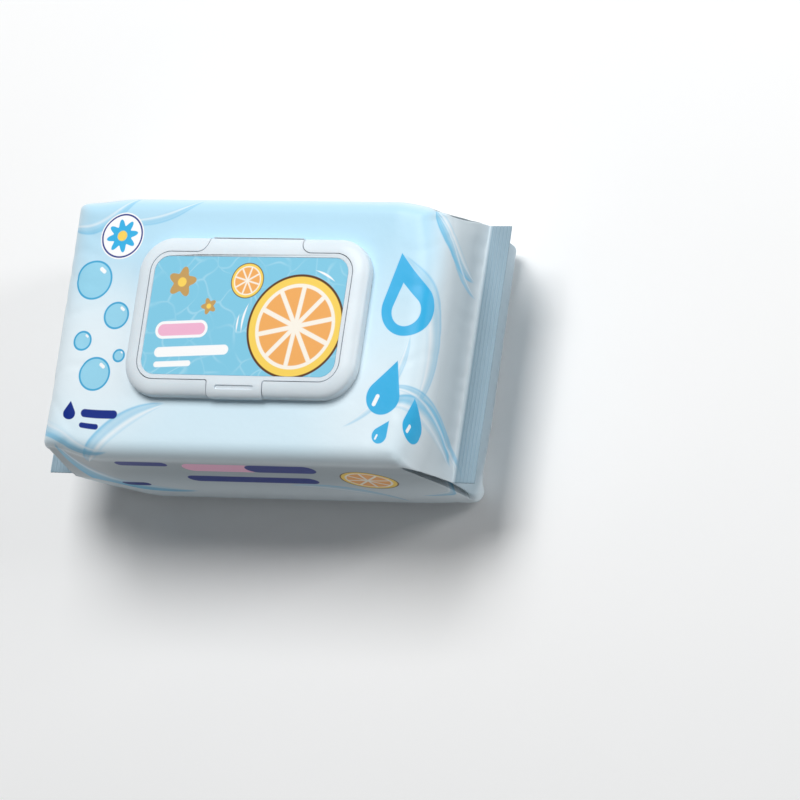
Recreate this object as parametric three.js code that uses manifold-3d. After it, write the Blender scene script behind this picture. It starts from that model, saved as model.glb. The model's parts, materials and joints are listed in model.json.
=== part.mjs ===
// Wet wipes pack: a gusseted film pack with crimped ends and a moulded flip-top lid on its top face.
// Millimetres, +Z up. The origin is the middle of the face that the pack lies on, and +X runs
// along the pack's length. The lid's hinge is on its +Y side and its latch on its -Y side.

import * as THREE from 'three';
import { mergeVertices } from 'three/addons/utils/BufferGeometryUtils.js';
import Module from 'manifold-3d';

const wasm = await Module();
wasm.setup();

// Film pack
const PACK_LENGTH = 176; // between the folds where the top turns down into the end flaps
const PACK_WIDTH = 111;
const PACK_HEIGHT = 68;
const LONG_EDGE_RADIUS = 7; // the four edges that run along the pack
const SHOULDER_RUN = 15; // how far in from the end fold the top starts to turn down
const SHOULDER_DROP = 13; // how far below the top the turn ends
const SHOULDER_EASE = 3.2; // how near the turn's curve comes to a square corner
const FLAP_BULGE = 0.4; // how far the end flaps stand out where they meet the crimped fin

// Crimped fins, at mid-height on both ends
const FIN_LENGTH = 9.6;
const FIN_SIDE_INSET = 2; // the fin is narrower than the pack by this much on each side
const FIN_THICKNESS = 0.7;
const FIN_ROOT = 1.5; // how far the fin reaches into the end flaps
const RIB_COUNT = 6;
const RIB_DEPTH = 0.25;

// Side gussets, tucked in between the end flaps
const GUSSET_FOLD_INSET = 8; // from the end fold back to the upright fold of the long side
const GUSSET_TUCK = 9; // how deep the gusset lies at the fin's root
const GUSSET_EDGE = 5; // from the pack's top and bottom to the gusset's corners
const GUSSET_APEX_INSET = 0.6; // from the end flaps' meeting line back to the gusset's point

// Lid, moulded in one with a film hinge
const LID_LENGTH = 106;
const LID_WIDTH = 67;
const LID_CORNER = 15;
const LID_HEIGHT = 5.8;
const LID_SHIFT_X = 3.5; // the lid's centre from the pack's centre
const LID_SHIFT_Y = 3;
const RIM_HEIGHT = 2.8; // upright outer wall, below the convex shoulder
const SHOULDER_WIDTH = 6.3; // of the convex shoulder, seen from above
const LID_WALL = 1.3;
const DECK_THICKNESS = 1.2; // plate glued to the film, around the dispensing opening
const LID_GAP = 0.35; // parting line between the frame and the flap
const WEB_THICKNESS = 0.3; // film hinge along the back edge
const WEB_SHORTER = 2; // the film hinge stops this far from the tongue's sides

// Flap: a rounded plate with a wide hinge tongue at the back and a latch tongue at the front
const FLAP_CORNER = LID_CORNER - SHOULDER_WIDTH;
const HINGE_TONGUE_WIDTH = 43.6;
const HINGE_TONGUE_FLARE = 4.5;
const LATCH_TONGUE_WIDTH = 26;
const LATCH_TONGUE_FLARE = 0.8;
const LATCH_TONGUE_CORNER = 1.5;
const LATCH_PROUD = 0.5; // the latch tongue stands this far past the rim, for a thumbnail
const LATCH_CLEARANCE = 0.3; // between the latch tongue's lower edge and the deck
const FLAP_WALL = 1.2;
const LIP_WIDTH = 1; // thin edge that covers the parting line's lower part
const LIP_THICKNESS = 0.6;
const SKIRT_DEPTH = 1.6; // below the flap's plate

// Grip mark on the latch tongue
const GRIP_LENGTH = 17.8;
const GRIP_WIDTH = 1.8;
const GRIP_CORNER = 0.85;
const GRIP_DEPTH = 0.5;
const GRIP_FROM_PARTING = 2.7;

// Dispensing opening, with a sealing lip on the frame and a rim round it under the flap
const OPENING_END_MARGIN = 14.7; // from the parting line to the opening, along the lid
const OPENING_SIDE_MARGIN = 11.2; // and across it
const OPENING_CORNER = 14;
const SEAL_LIP_THICKNESS = 1;
const SEAL_LIP_CLEARANCE = 0.8; // from the lip's top to the flap's plate
const SEAL_CLEARANCE = 0.4;
const SEAL_RIM_THICKNESS = 1;
const SEAL_RIM_FOOT = 0.5; // clearance between the rim's lower edge and the deck

// Latch: a bead on the flap's tongue snaps under a bead on the frame's catch
const CATCH_LENGTH = 18;
const CATCH_THICKNESS = 1.2;
const CATCH_CLEARANCE = 1; // from the catch's top to the level of the flap's plate
const CATCH_FROM_FRONT = 2.9; // from the lid's front edge to the catch's front face
const CATCH_BEAD_PROUD = 0.7;
const BEAD_CLEARANCE = 0.3; // between the beads, one above the other
const BEAD_SNAP = 0.2; // how far the two beads overlap in plan, so that the latch snaps

// Label set into the flap's top
const LABEL_MARGIN = 2.25; // from the parting line to the label's edge
const LABEL_THICKNESS = 0.2;
const LABEL_RECESS = 0.3;
const LABEL_CLEARANCE = 0.2;

// Peel-off seal over the slit in the film, inside the dispensing opening
const STICKER_MARGIN = 2; // from the opening's edge
const STICKER_THICKNESS = 0.2;
const PULL_TAB_LENGTH = 5;
const PULL_TAB_WIDTH = 12;
const PULL_TAB_CORNER = 4;
const STICKER_SHORTER = 6; // room left for the pull tab at the sticker's +X end

// Fineness of the curved faces
const CORNER_STEPS = 10;
const SHOULDER_STEPS = 8;
const SHORTEST_STRAIGHT = 0.1; // left between two corners where a fillet is limited by its wall
const REACH = 300; // longer than any side, for shapes that only cut
const PAST = 1; // how far a cut runs past the face that it opens

// Solids

// Closed manifold of a three.js geometry, with its shared corners merged
function solid(geometry) {
  const bare = geometry.clone();
  bare.deleteAttribute('normal');
  bare.deleteAttribute('uv');
  const merged = mergeVertices(bare, 1e-4);
  return new wasm.Manifold(new wasm.Mesh({
    numProp: 3,
    vertProperties: Float32Array.from(merged.attributes.position.array),
    triVerts: Uint32Array.from(merged.index.array),
  }));
}

function geometryOf(manifold) {
  const mesh = manifold.getMesh();
  const geometry = new THREE.BufferGeometry();
  geometry.setAttribute('position', new THREE.BufferAttribute(Float32Array.from(mesh.vertProperties), 3));
  geometry.setIndex(new THREE.BufferAttribute(Uint32Array.from(mesh.triVerts), 1));
  geometry.computeVertexNormals();
  return geometry;
}

function block(x0, x1, y0, y1, z0, z1) {
  const geometry = new THREE.BoxGeometry(x1 - x0, y1 - y0, z1 - z0);
  geometry.translate((x0 + x1) / 2, (y0 + y1) / 2, (z0 + z1) / 2);
  return solid(geometry);
}

// A shape in the XY plane, extruded from z0 to z1
function upright(shape, z0, z1) {
  const geometry = new THREE.ExtrudeGeometry(shape, {
    depth: z1 - z0,
    bevelEnabled: false,
    curveSegments: CORNER_STEPS,
  });
  geometry.translate(0, 0, z0);
  return solid(geometry);
}

// A shape whose x and y are X and Z, extruded from y0 to y1
function acrossWidth(shape, y0, y1) {
  const geometry = new THREE.ExtrudeGeometry(shape, {
    depth: y1 - y0,
    bevelEnabled: false,
    curveSegments: CORNER_STEPS,
  });
  geometry.rotateX(Math.PI / 2);
  geometry.translate(0, y1, 0);
  return solid(geometry);
}

// A shape whose x and y are Y and Z, extruded from x0 to x1
function alongLength(shape, x0, x1) {
  const geometry = new THREE.ExtrudeGeometry(shape, {
    depth: x1 - x0,
    bevelEnabled: false,
    curveSegments: CORNER_STEPS,
  });
  const basis = new THREE.Matrix4().makeBasis(
    new THREE.Vector3(0, 1, 0),
    new THREE.Vector3(0, 0, 1),
    new THREE.Vector3(1, 0, 0),
  );
  geometry.applyMatrix4(basis);
  geometry.translate(x0, 0, 0);
  return solid(geometry);
}

// Outlines

// Anticlockwise outline of square corners [x, y, radius], each rounded by its own radius
function roundedOutline(corners) {
  const shape = new THREE.Shape();
  corners.forEach(([x, y, radius], index) => {
    if (radius === 0) {
      if (index === 0) shape.moveTo(x, y);
      else shape.lineTo(x, y);
      return;
    }
    const previous = corners[(index + corners.length - 1) % corners.length];
    const next = corners[(index + 1) % corners.length];
    const back = new THREE.Vector2(previous[0] - x, previous[1] - y).normalize();
    const ahead = new THREE.Vector2(next[0] - x, next[1] - y).normalize();
    const turnsLeft = ahead.x * back.y - ahead.y * back.x > 0;
    const centreX = x + radius * (back.x + ahead.x);
    const centreY = y + radius * (back.y + ahead.y);
    const start = Math.atan2(-ahead.y, -ahead.x);
    const end = Math.atan2(-back.y, -back.x);
    if (index === 0) shape.moveTo(x + radius * back.x, y + radius * back.y);
    shape.absarc(centreX, centreY, radius, start, end, !turnsLeft);
  });
  return shape;
}

function roundedRectangle(length, width, radius) {
  const x = length / 2;
  const y = width / 2;
  const corner = Math.min(radius, Math.min(x, y) - SHORTEST_STRAIGHT / 2);
  return roundedOutline([[-x, -y, corner], [x, -y, corner], [x, y, corner], [-x, y, corner]]);
}

// The flap's plan: its plate and both tongues, grown by offset
function flapOutline(offset) {
  const x = LID_LENGTH / 2 - SHOULDER_WIDTH + offset;
  const y = LID_WIDTH / 2 - SHOULDER_WIDTH + offset;
  const hinge = HINGE_TONGUE_WIDTH / 2 + offset;
  const latch = LATCH_TONGUE_WIDTH / 2 + offset;
  const back = LID_WIDTH;
  const front = -LID_WIDTH;
  const corner = FLAP_CORNER + offset;
  const hingeFlare = HINGE_TONGUE_FLARE - offset;
  const latchFlare = Math.max(LATCH_TONGUE_FLARE - offset, 0);
  return roundedOutline([
    [-x, -y, corner],
    [-latch, -y, latchFlare],
    [-latch, front, 0],
    [latch, front, 0],
    [latch, -y, latchFlare],
    [x, -y, corner],
    [x, y, corner],
    [hinge, y, hingeFlare],
    [hinge, back, 0],
    [-hinge, back, 0],
    [-hinge, y, hingeFlare],
    [-x, y, corner],
  ]);
}

// Film pack

const endFold = PACK_LENGTH / 2;
const finRoot = endFold + FLAP_BULGE;
const midHeight = PACK_HEIGHT / 2;

// The pack seen from its long side: flat top and bottom, soft shoulders, flaps that meet at the fin
function packProfile() {
  const flat = endFold - SHOULDER_RUN;
  const ease = SHOULDER_EASE;
  const top = PACK_HEIGHT;
  const shape = new THREE.Shape();
  shape.moveTo(-flat, 0);
  shape.lineTo(flat, 0);
  shape.bezierCurveTo(endFold - ease, 0, endFold, ease, endFold, SHOULDER_DROP);
  shape.lineTo(finRoot, midHeight);
  shape.lineTo(endFold, top - SHOULDER_DROP);
  shape.bezierCurveTo(endFold, top - ease, endFold - ease, top, flat, top);
  shape.lineTo(-flat, top);
  shape.bezierCurveTo(ease - endFold, top, -endFold, top - ease, -endFold, top - SHOULDER_DROP);
  shape.lineTo(-finRoot, midHeight);
  shape.lineTo(-endFold, SHOULDER_DROP);
  shape.bezierCurveTo(-endFold, ease, ease - endFold, 0, -flat, 0);
  return shape;
}

// The crimped fin's section: two films pressed into ribs that run along the pack's width
function finProfile() {
  const start = finRoot - FIN_ROOT;
  const end = finRoot + FIN_LENGTH;
  const steps = 2 * RIB_COUNT;
  const ridge = [];
  for (let step = 0; step <= steps; step += 1) {
    const x = start + (end - start) * (step / steps);
    ridge.push([x, midHeight + (step % 2 === 0 ? -RIB_DEPTH : RIB_DEPTH) / 2]);
  }
  const shape = new THREE.Shape();
  ridge.forEach(([x, z], index) => {
    if (index === 0) shape.moveTo(x, z - FIN_THICKNESS / 2);
    else shape.lineTo(x, z - FIN_THICKNESS / 2);
  });
  ridge.reverse().forEach(([x, z]) => shape.lineTo(x, z + FIN_THICKNESS / 2));
  return shape;
}

// The hollow that one tucked gusset leaves, on the pack's +X end and -Y side
function gussetHollow() {
  const fold = endFold - GUSSET_FOLD_INSET;
  const apex = finRoot - GUSSET_APEX_INSET;
  const side = -PACK_WIDTH / 2;
  const face = new THREE.Shape();
  face.moveTo(fold, GUSSET_EDGE);
  face.lineTo(apex, midHeight);
  face.lineTo(fold, PACK_HEIGHT - GUSSET_EDGE);
  const plan = new THREE.Shape();
  plan.moveTo(fold, side);
  plan.lineTo(fold, side - GUSSET_TUCK);
  plan.lineTo(finRoot, side - GUSSET_TUCK);
  plan.lineTo(finRoot, side + GUSSET_TUCK);
  return acrossWidth(face, -PACK_WIDTH, 0).intersect(upright(plan, 0, PACK_HEIGHT));
}

function sealedPack() {
  const section = roundedRectangle(PACK_WIDTH, PACK_HEIGHT, LONG_EDGE_RADIUS);
  const tube = alongLength(section, -REACH / 2, REACH / 2).translate([0, 0, midHeight]);
  let pack = acrossWidth(packProfile(), -PACK_WIDTH, PACK_WIDTH).intersect(tube);
  const hollow = gussetHollow();
  for (const x of [0, 1]) {
    for (const y of [0, 1]) {
      let cut = hollow;
      if (x) cut = cut.mirror([1, 0, 0]);
      if (y) cut = cut.mirror([0, 1, 0]);
      pack = pack.subtract(cut);
    }
  }
  const finHalf = PACK_WIDTH / 2 - FIN_SIDE_INSET;
  const fin = acrossWidth(finProfile(), -finHalf, finHalf);
  return pack.add(fin).add(fin.mirror([1, 0, 0]));
}

// Lid, in its own frame: z = 0 is the film under it

const lidFront = -LID_WIDTH / 2;
const partingFront = lidFront + SHOULDER_WIDTH;
const partingBack = -partingFront;
const plateLength = LID_LENGTH - 2 * SHOULDER_WIDTH;
const plateWidth = LID_WIDTH - 2 * SHOULDER_WIDTH;
const plateUnderside = LID_HEIGHT - FLAP_WALL;
const openingLength = plateLength - 2 * OPENING_END_MARGIN;
const openingWidth = plateWidth - 2 * OPENING_SIDE_MARGIN;
const hingeHeight = RIM_HEIGHT;
const latchFoot = DECK_THICKNESS + LATCH_CLEARANCE;
const catchFront = lidFront + CATCH_FROM_FRONT;
const catchTop = plateUnderside - CATCH_CLEARANCE;
const beadHeight = (catchTop - latchFoot - BEAD_CLEARANCE) / 2;

// The closed lid's outer form, moved inwards by inset, from z = foot up
function lidForm(inset, foot) {
  const shape = roundedRectangle(LID_LENGTH - 2 * inset, LID_WIDTH - 2 * inset, LID_CORNER - inset);
  const geometry = new THREE.ExtrudeGeometry(shape, {
    depth: LID_HEIGHT,
    bevelEnabled: true,
    bevelThickness: LID_HEIGHT - RIM_HEIGHT - inset,
    bevelSize: SHOULDER_WIDTH,
    bevelOffset: -SHOULDER_WIDTH,
    bevelSegments: SHOULDER_STEPS,
    curveSegments: CORNER_STEPS,
  });
  geometry.translate(0, 0, RIM_HEIGHT - LID_HEIGHT);
  return solid(geometry).intersect(block(-REACH, REACH, -REACH, REACH, foot, REACH));
}

// The latch tongue's outer form: the same rim and shoulder, standing proud at the front
function latchForm(inset, foot) {
  const face = lidFront - LATCH_PROUD + inset;
  const top = LID_HEIGHT - inset;
  const inner = partingFront + LIP_WIDTH;
  const section = new THREE.Shape();
  section.moveTo(face, foot);
  section.lineTo(inner, foot);
  section.lineTo(inner, top);
  section.lineTo(face + SHOULDER_WIDTH, top);
  section.absellipse(
    face + SHOULDER_WIDTH, RIM_HEIGHT,
    SHOULDER_WIDTH, top - RIM_HEIGHT,
    Math.PI / 2, Math.PI, false, 0,
  );
  const half = LATCH_TONGUE_WIDTH / 2 - LID_GAP;
  const plan = roundedOutline([
    [-half, lidFront - LATCH_PROUD, LATCH_TONGUE_CORNER],
    [half, lidFront - LATCH_PROUD, LATCH_TONGUE_CORNER],
    [half, partingFront + LIP_WIDTH, 0],
    [-half, partingFront + LIP_WIDTH, 0],
  ]);
  return alongLength(section, -half, half).intersect(upright(plan, foot, LID_HEIGHT));
}

// The flap's plate without its tongues, moved inwards by inset
function plateOutline(inset) {
  return roundedRectangle(plateLength - 2 * inset, plateWidth - 2 * inset, FLAP_CORNER - inset);
}

// A ring between two rounded rectangles, for the sealing lip and rim
function openingRing(inner, thickness, z0, z1) {
  const grown = (by) => roundedRectangle(
    openingLength + 2 * by,
    openingWidth + 2 * by,
    OPENING_CORNER + by,
  );
  const hole = upright(grown(inner), z0 - PAST, z1 + PAST);
  return upright(grown(inner + thickness), z0, z1).subtract(hole);
}

// The frame glued to the film: hollow convex border, deck, sealing lip, catch and film hinge
function lidBase() {
  const channel = lidForm(LID_WALL, -PAST).subtract(upright(flapOutline(LID_WALL), -2 * PAST, LID_HEIGHT));
  const hingeSeat = block(-REACH, REACH, partingBack, REACH, -PAST, hingeHeight - LID_GAP);
  const flapSpace = upright(flapOutline(0), DECK_THICKNESS, REACH).subtract(hingeSeat);
  const opening = upright(
    roundedRectangle(openingLength, openingWidth, OPENING_CORNER),
    -PAST,
    LID_HEIGHT,
  );
  const lip = openingRing(0, SEAL_LIP_THICKNESS, 0, plateUnderside - SEAL_LIP_CLEARANCE);
  const halfCatch = CATCH_LENGTH / 2;
  const wall = block(
    -halfCatch, halfCatch,
    catchFront, catchFront + CATCH_THICKNESS,
    0, catchTop,
  );
  const bead = block(
    -halfCatch, halfCatch,
    catchFront - CATCH_BEAD_PROUD, catchFront + CATCH_THICKNESS / 2,
    catchTop - beadHeight, catchTop,
  );
  const halfWeb = HINGE_TONGUE_WIDTH / 2 - WEB_SHORTER;
  const web = block(
    -halfWeb, halfWeb,
    LID_WIDTH / 2 - WEB_THICKNESS, LID_WIDTH / 2,
    hingeHeight - 2 * LID_GAP, hingeHeight,
  );
  return lidForm(0, 0)
    .subtract(channel)
    .subtract(flapSpace)
    .subtract(opening)
    .add(lip)
    .add(wall)
    .add(bead)
    .add(web);
}

// The shell between the lid's outer form and the same form moved inwards
function flapShell(thickness) {
  const outer = lidForm(0, 0).add(latchForm(0, 0));
  const inner = lidForm(thickness, -PAST).add(latchForm(thickness, -PAST));
  return outer.subtract(inner);
}

// The hinged flap: thin edge, plate and tongues, skirt, sealing rim and latch bead
function lidFlap() {
  const edge = flapShell(LIP_THICKNESS).intersect(upright(flapOutline(-LID_GAP), -PAST, REACH));
  const capOutline = flapOutline(-LID_GAP - LIP_WIDTH);
  const cap = flapShell(FLAP_WALL).intersect(upright(capOutline, -PAST, REACH));
  const skirtInset = LID_GAP + LIP_WIDTH;
  const skirtFoot = plateUnderside - SKIRT_DEPTH;
  const insidePlate = plateUnderside + FLAP_WALL / 2;
  const skirt = upright(plateOutline(skirtInset), skirtFoot, insidePlate)
    .subtract(upright(plateOutline(skirtInset + FLAP_WALL), skirtFoot - PAST, LID_HEIGHT));
  const rimInner = SEAL_LIP_THICKNESS + SEAL_CLEARANCE;
  const rim = openingRing(rimInner, SEAL_RIM_THICKNESS, DECK_THICKNESS + SEAL_RIM_FOOT, insidePlate);
  const halfCatch = CATCH_LENGTH / 2;
  const tongueInside = lidFront - LATCH_PROUD + FLAP_WALL;
  const bead = block(
    -halfCatch, halfCatch,
    tongueInside - FLAP_WALL / 2, catchFront - CATCH_BEAD_PROUD + BEAD_SNAP,
    latchFoot, latchFoot + beadHeight,
  );
  const belowHinge = block(-REACH, REACH, partingBack, REACH, -REACH, hingeHeight);
  const belowLatch = block(-REACH, REACH, -REACH, partingFront, -REACH, latchFoot);
  const bedMargin = LABEL_MARGIN - LABEL_CLEARANCE;
  const labelBed = upright(plateOutline(bedMargin), LID_HEIGHT - LABEL_RECESS, REACH);
  return edge
    .add(cap)
    .subtract(belowHinge)
    .subtract(belowLatch)
    .add(skirt)
    .add(rim)
    .add(bead)
    .subtract(labelBed)
    .subtract(gripMark());
}

// The shallow bar that a thumb finds on the latch tongue, square to the shoulder's slope
function gripMark() {
  const y = partingFront - GRIP_FROM_PARTING;
  const rise = LID_HEIGHT - RIM_HEIGHT;
  const turn = Math.acos((GRIP_FROM_PARTING - LATCH_PROUD) / SHOULDER_WIDTH);
  const surface = RIM_HEIGHT + rise * Math.sin(turn);
  const slope = Math.atan(rise / SHOULDER_WIDTH / Math.tan(turn));
  const geometry = new THREE.ExtrudeGeometry(
    roundedRectangle(GRIP_LENGTH, GRIP_WIDTH, GRIP_CORNER),
    { depth: LID_HEIGHT, bevelEnabled: false, curveSegments: CORNER_STEPS },
  );
  geometry.translate(0, 0, -GRIP_DEPTH);
  geometry.rotateX(slope);
  geometry.translate(0, y, surface);
  return solid(geometry);
}

function sealSticker() {
  const length = openingLength - 2 * STICKER_MARGIN - STICKER_SHORTER;
  const width = openingWidth - 2 * STICKER_MARGIN;
  const centre = -STICKER_SHORTER / 2;
  const end = centre + length / 2;
  const faceOutline = roundedRectangle(length, width, OPENING_CORNER - STICKER_MARGIN);
  const tabOutline = roundedRectangle(2 * PULL_TAB_LENGTH, PULL_TAB_WIDTH, PULL_TAB_CORNER);
  const face = upright(faceOutline, 0, STICKER_THICKNESS).translate([centre, 0, 0]);
  const tab = upright(tabOutline, 0, STICKER_THICKNESS).translate([end, 0, 0]);
  return face.add(tab);
}

function lidLabel() {
  return upright(plateOutline(LABEL_MARGIN), 0, LABEL_THICKNESS);
}

// Finishes

const film = new THREE.MeshStandardMaterial({ color: 0xc2e3f3, roughness: 0.35, metalness: 0 });
const mouldedPlastic = new THREE.MeshStandardMaterial({ color: 0xc9deea, roughness: 0.3, metalness: 0 });
const labelPrint = new THREE.MeshStandardMaterial({ color: 0x8cd0ea, roughness: 0.35, metalness: 0 });
const stickerPaper = new THREE.MeshStandardMaterial({ color: 0xeef3f6, roughness: 0.5, metalness: 0 });

// Assembly

function piece(name, manifold, material) {
  const mesh = new THREE.Mesh(geometryOf(manifold), material);
  mesh.name = name;
  return mesh;
}

const model = new THREE.Group();
model.add(piece('sealed_pack', sealedPack(), film));

const lid = new THREE.Group();
lid.position.set(LID_SHIFT_X, LID_SHIFT_Y, PACK_HEIGHT);
model.add(lid);
lid.add(piece('lid_base', lidBase(), mouldedPlastic));
lid.add(piece('seal_sticker', sealSticker(), stickerPaper));

// The film hinge's line is the back edge of the rim
const hinge = new THREE.Group();
hinge.position.set(0, LID_WIDTH / 2, hingeHeight);
lid.add(hinge);
const hingeToLid = [0, -LID_WIDTH / 2, -hingeHeight];
hinge.add(piece('lid_flap', lidFlap().translate(hingeToLid), mouldedPlastic));

const label = piece('lid_label', lidLabel(), labelPrint);
label.position.set(0, -LID_WIDTH / 2, LID_HEIGHT - LABEL_RECESS - hingeHeight);
hinge.add(label);

export default model;
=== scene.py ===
"""A gusseted film pack of wet wipes with a flip-top lid: its finished surfaces, print and studio."""

import json
import math

import bmesh
import bpy
from bpy.props import FloatProperty, FloatVectorProperty, IntProperty, PointerProperty
from mathutils import Euler, Matrix, Vector, noise


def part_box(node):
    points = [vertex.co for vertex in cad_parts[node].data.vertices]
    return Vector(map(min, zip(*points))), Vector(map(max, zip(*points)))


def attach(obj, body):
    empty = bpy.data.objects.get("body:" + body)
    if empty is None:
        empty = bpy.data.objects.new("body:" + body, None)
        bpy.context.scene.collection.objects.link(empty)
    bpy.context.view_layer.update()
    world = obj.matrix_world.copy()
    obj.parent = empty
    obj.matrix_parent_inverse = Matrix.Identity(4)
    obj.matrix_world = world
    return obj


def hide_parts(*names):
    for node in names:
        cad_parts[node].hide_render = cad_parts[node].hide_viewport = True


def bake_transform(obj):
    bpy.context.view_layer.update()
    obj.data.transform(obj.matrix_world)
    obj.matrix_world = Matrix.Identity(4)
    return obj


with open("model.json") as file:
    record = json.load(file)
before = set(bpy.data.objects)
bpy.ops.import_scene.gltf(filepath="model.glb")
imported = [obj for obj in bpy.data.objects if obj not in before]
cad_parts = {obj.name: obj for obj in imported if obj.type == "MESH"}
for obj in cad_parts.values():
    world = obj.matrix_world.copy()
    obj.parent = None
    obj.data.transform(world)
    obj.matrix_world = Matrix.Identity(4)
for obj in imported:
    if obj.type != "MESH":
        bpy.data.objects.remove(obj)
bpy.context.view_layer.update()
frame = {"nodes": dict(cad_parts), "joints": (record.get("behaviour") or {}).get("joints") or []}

bl_info = {
    "name": "Wet wipes pack",
    "version": (1, 0, 0),
    "blender": (4, 5, 0),
    "location": "3D View > Sidebar > Wipes pack",
    "description": "Builds the film, lid, label and seal of a wet wipes pack round its packed model",
    "category": "Object",
}

MM = 0.001

FILM_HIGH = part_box("sealed_pack")[1]
FRAME_LOW, FRAME_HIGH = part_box("lid_base")
LABEL_LOW, LABEL_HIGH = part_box("lid_label")
SEAL_LOW, SEAL_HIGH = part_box("seal_sticker")
HINGE = Vector(frame["joints"][0]["pos_m"])


def ink(code):
    """Linear red, green and blue of a six-digit colour code."""
    channels = [(code >> shift & 255) / 255 for shift in (16, 8, 0)]
    return tuple(c / 12.92 if c <= 0.04045 else ((c + 0.055) / 1.055) ** 2.4 for c in channels)


def size(text, millimetres):
    """A length that the user can change."""
    return FloatProperty(name=text, description=text, default=millimetres * MM, unit="LENGTH", precision=5)


def colour(text, code):
    """A colour that the user can change."""
    return FloatVectorProperty(
        name=text, description=text, default=ink(code), subtype="COLOR", size=3, min=0, max=1
    )


def ease(value):
    """Smooth step from 0 to 1."""
    t = min(max(value, 0.0), 1.0)
    return t * t * (3 - 2 * t)


def blend(a, b, t):
    """The value a share t of the way from a to b."""
    return a + (b - a) * t


# Sizes and colours


class FilmSizes(bpy.types.PropertyGroup):
    """Sizes of the wrapped film."""

    edge_radius: size("Radius of the pack's long edges", 7)
    shoulder_run: size("How far in from the fin's root the top starts to turn down", 14.6)
    shoulder_drop: size("How far below the top the turn ends", 13)
    shoulder_ease: size("How near the turn comes to a square corner", 3.2)
    fin_length: size("Length of the crimped fins", 10)
    fin_inset: size("How much narrower than the pack the fins are, on each side", 1.4)
    fin_thickness: size("Thickness of a fin", 0.7)
    fin_rib: size("Depth of the crimped ribs", 0.3)
    flare_height: size("How far above the fin the end flap starts to flare", 6.5)
    wide_flare: size("How far out the +X end's upper flap flares", 2.4)
    slight_flare: size("How far out the other flaps flare", 0.3)
    fin_wave: size("How far the fins wave up and down", 0.5)
    fold_radius: size("Radius of the gussets' folds", 0.7)
    seam_width: size("Width of the back seam, pressed flat on the underside", 12)
    seam_thickness: size("How far the back seam stands proud", 0.25)
    side_bulge: size("How far the long sides swell", 0.9)
    ribs: IntProperty(name="Ribs", description="Crimped ribs on each fin", default=6, min=1)


class PrintColours(bpy.types.PropertyGroup):
    """Inks of the film and the label, and the colours of the film's painted shade and painted highlights.
    """

    film_far: colour("Film ground, far side", 0xBAE2F6)
    film_near: colour("Film ground, near side", 0xD8EFFA)
    film_painted_highlight: colour("Film ground, palest", 0xEDF7FC)
    # Painted highlight: the palest ground, laid in soft pools where the top catches the most light.
    film_side: colour("Film ground, ends and long sides", 0xE1ECF2)
    # Painted shade: a grey laid over the long sides' upper part and the end flaps, where they turn away
    # from the light.
    film_painted_shade: colour("Film ground, long sides' upper part and end flaps", 0xAAB6BC)
    # Painted shade: the grey-blue that darkens the fins and the lower end flaps.
    fin: colour("Film of the crimped fins", 0x87A2B1)
    # Painted shade: the dark of the gussets' deep pockets.
    tuck: colour("Film inside the gussets", 0x627C8E)
    swirl: colour("Water swirls", 0x86C9E9)
    drop: colour("Large drops", 0x36B4E8)
    bubble: colour("Bubbles", 0x9AD8F0)
    bubble_rim: colour("Bubble outlines", 0x3FA9D8)
    navy: colour("Navy bars", 0x0A2A86)
    pink: colour("Pink bars", 0xF5B9D5)
    white: colour("White print", 0xFFFFFF)
    seal: colour("Peel-off seal", 0xDCE7ED)
    label_ground: colour("Label ground", 0x84CDE8)
    label_net: colour("Light net on the label", 0xA9DDF1)
    rind: colour("Fruit rind", 0xFDD75F)
    flesh: colour("Fruit flesh", 0xF6B061)
    outline: colour("Dark outlines", 0x5E3A1C)
    tan: colour("Tan flowers", 0xC8A060)


class LidSizes(bpy.types.PropertyGroup):
    """Finish of the moulded lid and its film hinge."""

    hinge_thickness: size("Thickness of the film hinge", 0.15)
    hinge_reach: size("How far the film hinge reaches on to each part", 1.1)
    hinge_length: size("Length of the film hinge along the lid's back edge", 41.6)
    plastic: colour("Lid plastic", 0xEBF6FF)


class StudioSettings(bpy.types.PropertyGroup):
    """Camera and lights."""

    camera_place: FloatVectorProperty(
        name="Camera", description="Where the camera stands", default=(1.76433, -0.88889, 3.19663), size=3
    )
    camera_turn: FloatVectorProperty(
        name="Turn", description="The camera's turn, in degrees", default=(17.7867, 26.0469, 9.1539), size=3
    )
    lens: FloatProperty(name="Lens", description="Focal length in mm", default=410.6)
    key_power: FloatProperty(name="Key", description="Power of the main softbox in watts", default=22)
    fill_power: FloatProperty(name="Fill", description="Power of the side strip in watts", default=6)
    ambient: FloatProperty(name="Ambient", description="Brightness of the room", default=0.16)


# Shader maths


class Field:
    """A value that varies over a surface; Python's arithmetic on it adds Math nodes."""

    def __init__(self, finish, socket):
        self.finish = finish
        self.socket = socket

    def math(self, operation, *others, clamp=False):
        settings = {"operation": operation, "use_clamp": clamp}
        return self.finish.node("ShaderNodeMath", settings, self, *others)

    def __add__(self, other):
        return self.math("ADD", other)

    __radd__ = __add__

    def __sub__(self, other):
        return self.math("SUBTRACT", other)

    def __rsub__(self, other):
        return self.finish.node("ShaderNodeMath", {"operation": "SUBTRACT"}, other, self)

    def __mul__(self, other):
        return self.math("MULTIPLY", other)

    __rmul__ = __mul__

    def __truediv__(self, other):
        return self.math("DIVIDE", other)

    def __neg__(self):
        return self.math("MULTIPLY", -1.0)

    def __abs__(self):
        return self.math("ABSOLUTE")

    def at_most(self, other):
        return self.math("MINIMUM", other)

    def at_least(self, other):
        return self.math("MAXIMUM", other)

    def inside(self, softness=0.3):
        """Cover of a shape from the distance to its outline, which is negative inside.

        The outline is blurred over the softness, in millimetres.
        """
        return self.math("MULTIPLY_ADD", -1.0 / softness, 0.5, clamp=True)

    def rising(self, start, end):
        """0 below start and 1 above end, with a smooth step between."""
        settings = {"interpolation_type": "SMOOTHSTEP"}
        return self.finish.node("ShaderNodeMapRange", settings, self, start, end, 0.0, 1.0)


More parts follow.
